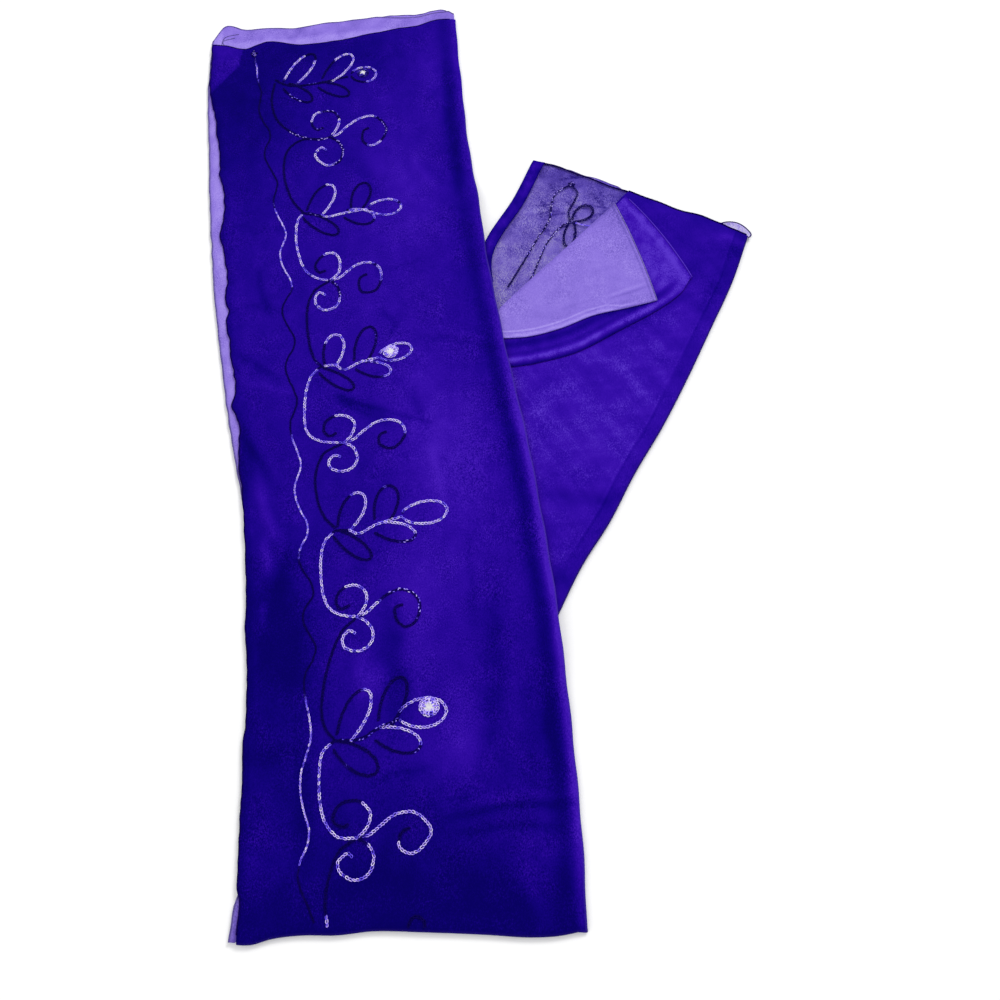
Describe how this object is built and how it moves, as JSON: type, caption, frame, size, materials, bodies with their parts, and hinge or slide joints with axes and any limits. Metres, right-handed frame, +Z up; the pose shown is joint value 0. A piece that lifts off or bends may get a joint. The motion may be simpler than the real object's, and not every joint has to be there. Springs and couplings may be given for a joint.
{
  "type": "sarong",
  "caption": "Two-layer sarong of sheer violet georgette over lavender crepe with an embroidered border, folded into a strip and laid flat in a V.",
  "frame": {"origin": "under the middle of the whole outline, on the surface it lies on", "axes": "+Z up, +Y up the front leg away from the bottom fold, +X to the right across it"},
  "size_m": [0.592, 1.0222, 0.014],
  "materials": {
    "overlay": "sheer deep-violet georgette over itself, soft sheen",
    "overlay_single": "single sheer violet georgette over lavender",
    "lining": "matt lavender crepe",
    "edge_band": "turned hem of violet georgette",
    "inner_layers": "stacked edges of violet and lavender cloth",
    "thread": "variegated chain-stitch thread, pale lavender to dark indigo",
    "mirror": "small round mirrors"
  },
  "bodies": {
    "root": {"overlay_front": "overlay", "lining_front": "lining", "inner_layers_front": "inner_layers", "overlay_back": "overlay", "overlay_back_ply": "overlay_single", "lining_back": "lining", "edge_band_back": "edge_band", "turned_corner_overlay": "overlay", "turned_corner_lining": "lining", "inner_layers_back": "inner_layers"}
  },
  "joints": []
}
